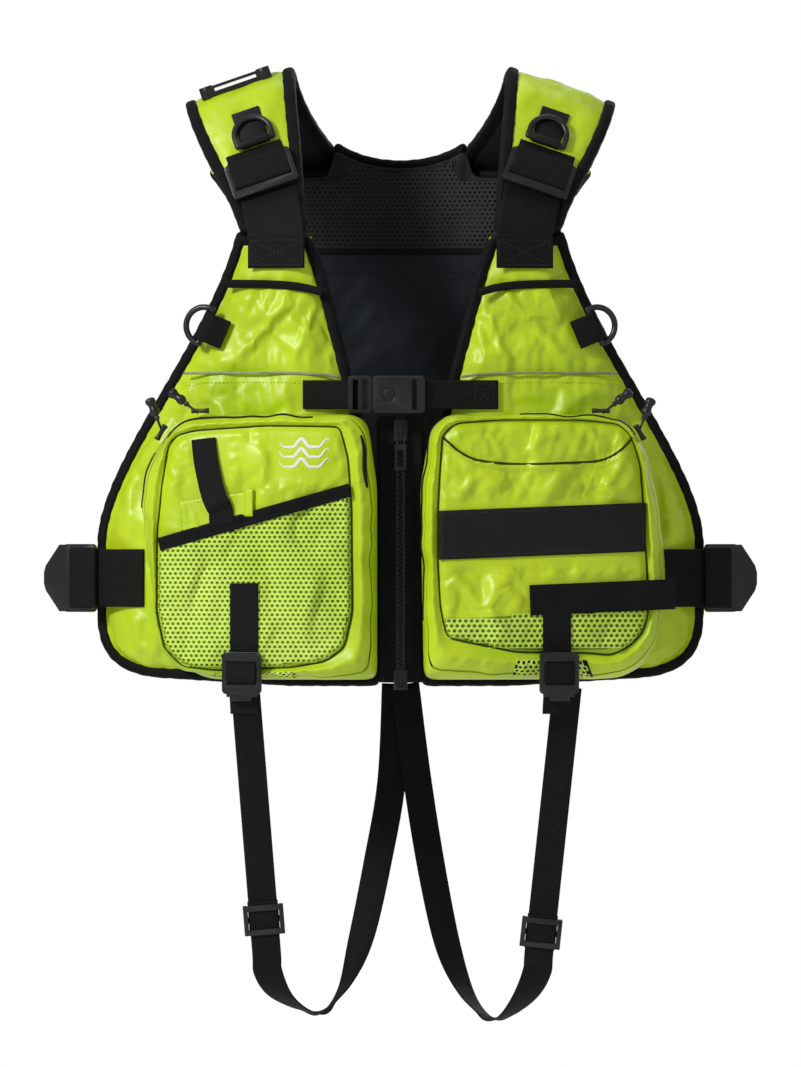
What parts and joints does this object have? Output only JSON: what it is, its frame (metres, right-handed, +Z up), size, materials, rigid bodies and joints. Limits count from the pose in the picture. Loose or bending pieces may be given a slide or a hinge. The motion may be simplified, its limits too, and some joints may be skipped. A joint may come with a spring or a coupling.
{
  "type": "life jacket",
  "caption": "Sleeveless foam fishing vest with sloping shoulder pads, a front zip, a chest buckle, two box pockets with fold-down lids, side locks and crotch straps.",
  "frame": {"origin": "midway between the shoulders at the height of the shoulder rest, where the vest hangs on the wearer", "axes": "+X towards the wearer's left, -Y out of the front, +Z up"},
  "size_m": [0.6202, 0.2771, 0.8334],
  "materials": {
    "lime_fabric": "satin coated nylon",
    "foam": "closed-cell foam, matt",
    "navy_lining": "matt nylon",
    "black_mesh": "open knitted mesh",
    "black_tape": "matt woven tape",
    "reflective": "retroreflective, satin",
    "black_web": "ribbed polyester webbing",
    "lime_mesh": "perforated mesh",
    "black_plastic": "satin moulded acetal"
  },
  "bodies": {
    "vest": {"back_cover": "lime_fabric", "back_foam": "foam", "back_lining": "navy_lining", "back_mesh": "black_mesh", "back_binding": "black_tape", "shoulder_pad_r": "lime_fabric", "shoulder_pad_l": "lime_fabric", "shoulder_bindings": "black_tape", "front_cover_r": "lime_fabric", "front_cover_l": "lime_fabric", "front_foams": "foam", "front_bindings": "black_tape", "piping_reflective": "reflective", "zip_tapes": "black_tape", "zip_teeth": "black_plastic", "zip_box": "black_plastic", "shoulder_webs": "black_web", "shoulder_tabs": "black_web", "accessory_loop": "black_plastic", "side_tabs": "black_web", "chest_web_l": "black_web", "chest_socket": "black_plastic", "pocket_shell_r": "lime_fabric", "pocket_shell_l": "lime_fabric", "waist_webs": "black_web", "waist_belt": "black_web", "leg_strap_r": "black_web", "leg_strap_l": "black_web"},
    "zip_slider": {"zip_slider": "black_plastic"},
    "zip_pull": {"zip_pull": "black_plastic"},
    "chest_plug": {"chest_plug": "black_plastic", "chest_web_r": "black_web"},
    "prong_upper": {"prong_upper": "black_plastic"},
    "prong_lower": {"prong_lower": "black_plastic"},
    "shoulder_lock_r": {"shoulder_lock_r": "black_plastic"},
    "shoulder_lock_l": {"shoulder_lock_l": "black_plastic"},
    "shoulder_ring_r": {"shoulder_ring_r": "black_plastic"},
    "shoulder_ring_l": {"shoulder_ring_l": "black_plastic"},
    "side_ring_r": {"side_ring_r": "black_plastic"},
    "side_ring_l": {"side_ring_l": "black_plastic"},
    "pocket_lid_r": {"pocket_lid_r": "lime_fabric", "pocket_mesh_r": "lime_mesh", "pocket_band": "black_tape", "key_strap": "black_web", "pocket_web_r": "black_web"},
    "pocket_lid_l": {"pocket_lid_l": "lime_fabric", "pocket_mesh_l": "lime_mesh", "pocket_patch": "black_tape", "cross_web": "black_web", "pocket_web_l": "black_web"},
    "pocket_lock_r": {"pocket_lock_r": "black_plastic"},
    "pocket_lock_l": {"pocket_lock_l": "black_plastic"},
    "zip_tag_r_top": {"zip_tag_r_top": "black_plastic"},
    "zip_tag_r_side": {"zip_tag_r_side": "black_plastic"},
    "zip_tag_l_top": {"zip_tag_l_top": "black_plastic"},
    "zip_tag_l_side": {"zip_tag_l_side": "black_plastic"},
    "waist_lock_r": {"waist_lock_r": "black_plastic"},
    "waist_lock_l": {"waist_lock_l": "black_plastic"},
    "leg_slide_r": {"leg_slide_r": "black_plastic"},
    "leg_slide_l": {"leg_slide_l": "black_plastic"}
  },
  "joints": [
    {"name": "zip_slide", "type": "slide", "parent": "vest", "child": "zip_slider", "axis": [0, 0, -1], "range_m": [0, 0.194]},
    {"name": "zip_pull_hinge", "type": "hinge", "parent": "zip_slider", "child": "zip_pull", "pos_m": [0, -0.1091, -0.2927], "axis": [-1, 0, 0], "range_deg": [0, 110]},
    {"name": "chest_plug_slide", "type": "slide", "parent": "vest", "child": "chest_plug", "axis": [-1, 0, 0], "range_m": [0, 0.024]},
    {"name": "prong_upper_squeeze", "type": "hinge", "parent": "chest_plug", "child": "prong_upper", "pos_m": [-0.0242, -0.122, -0.2521], "axis": [0, 1, 0], "range_deg": [0, 5], "stiffness_Nm_per_rad": 0.3},
    {"name": "prong_lower_squeeze", "type": "hinge", "parent": "chest_plug", "child": "prong_lower", "pos_m": [-0.0242, -0.122, -0.2719], "axis": [0, -1, 0], "range_deg": [0, 5], "stiffness_Nm_per_rad": 0.3},
    {"name": "shoulder_lock_l_tilt", "type": "hinge", "parent": "vest", "child": "shoulder_lock_l", "pos_m": [0.12453, -0.06882, -0.0572], "axis": [-0.9455, 0, 0.3256], "range_deg": [0, 25]},
    {"name": "shoulder_ring_l_hinge", "type": "hinge", "parent": "vest", "child": "shoulder_ring_l", "pos_m": [0.12566, -0.06173, -0.04165], "axis": [0.9455, 0, -0.3256], "range_deg": [0, 130]},
    {"name": "side_ring_l_hinge", "type": "hinge", "parent": "vest", "child": "side_ring_l", "pos_m": [0.168, -0.09213, -0.203], "axis": [0.386, 0.1282, -0.9135], "range_deg": [0, 100]},
    {"name": "shoulder_lock_r_tilt", "type": "hinge", "parent": "vest", "child": "shoulder_lock_r", "pos_m": [-0.12453, -0.06882, -0.0572], "axis": [-0.9455, 0, -0.3256], "range_deg": [0, 25]},
    {"name": "shoulder_ring_r_hinge", "type": "hinge", "parent": "vest", "child": "shoulder_ring_r", "pos_m": [-0.12566, -0.06173, -0.04165], "axis": [0.9455, 0, 0.3256], "range_deg": [0, 130]},
    {"name": "side_ring_r_hinge", "type": "hinge", "parent": "vest", "child": "side_ring_r", "pos_m": [-0.168, -0.09213, -0.203], "axis": [0.386, -0.1282, 0.9135], "range_deg": [0, 100]},
    {"name": "pocket_lid_l_fold", "type": "hinge", "parent": "vest", "child": "pocket_lid_l", "pos_m": [0.122, -0.12808, -0.507], "axis": [0.9756, 0.2197, 0], "range_deg": [0, 50]},
    {"name": "pocket_lock_l_tilt", "type": "hinge", "parent": "pocket_lid_l", "child": "pocket_lock_l", "pos_m": [0.13531, -0.14875, -0.483], "axis": [-0.9723, -0.2339, 0], "range_deg": [0, 25]},
    {"name": "zip_tag_l_top_slide", "type": "slide", "parent": "vest", "child": "zip_tag_l_top", "axis": [-0.9525, -0.3046, 0], "range_m": [0, 0.08]},
    {"name": "zip_tag_l_side_slide", "type": "slide", "parent": "vest", "child": "zip_tag_l_side", "axis": [0.5112, 0.1975, -0.8365], "range_m": [0, 0.022]},
    {"name": "pocket_lid_r_fold", "type": "hinge", "parent": "vest", "child": "pocket_lid_r", "pos_m": [-0.122, -0.12808, -0.507], "axis": [0.9756, -0.2197, 0], "range_deg": [0, 50]},
    {"name": "pocket_lock_r_tilt", "type": "hinge", "parent": "pocket_lid_r", "child": "pocket_lock_r", "pos_m": [-0.13531, -0.14875, -0.483], "axis": [-0.9723, 0.2339, 0], "range_deg": [0, 25]},
    {"name": "zip_tag_r_top_slide", "type": "slide", "parent": "vest", "child": "zip_tag_r_top", "axis": [0.9525, -0.3046, 0], "range_m": [0, 0.08]},
    {"name": "zip_tag_r_side_slide", "type": "slide", "parent": "vest", "child": "zip_tag_r_side", "axis": [-0.5112, 0.1975, -0.8365], "range_m": [0, 0.022]},
    {"name": "waist_lock_l_tilt", "type": "hinge", "parent": "vest", "child": "waist_lock_l", "pos_m": [0.26295, -0.0479, -0.42], "axis": [0, 0, -1], "range_deg": [0, 30]},
    {"name": "waist_lock_r_tilt", "type": "hinge", "parent": "vest", "child": "waist_lock_r", "pos_m": [-0.26295, -0.0479, -0.42], "axis": [0, 0, 1], "range_deg": [0, 30]},
    {"name": "leg_slide_l_run", "type": "slide", "parent": "vest", "child": "leg_slide_l", "axis": [0.1041, -0.1041, 0.9891], "range_m": [-0.01, 0.12]},
    {"name": "leg_slide_r_run", "type": "slide", "parent": "vest", "child": "leg_slide_r", "axis": [-0.0783, -0.1044, 0.9915], "range_m": [-0.01, 0.12]}
  ]
}
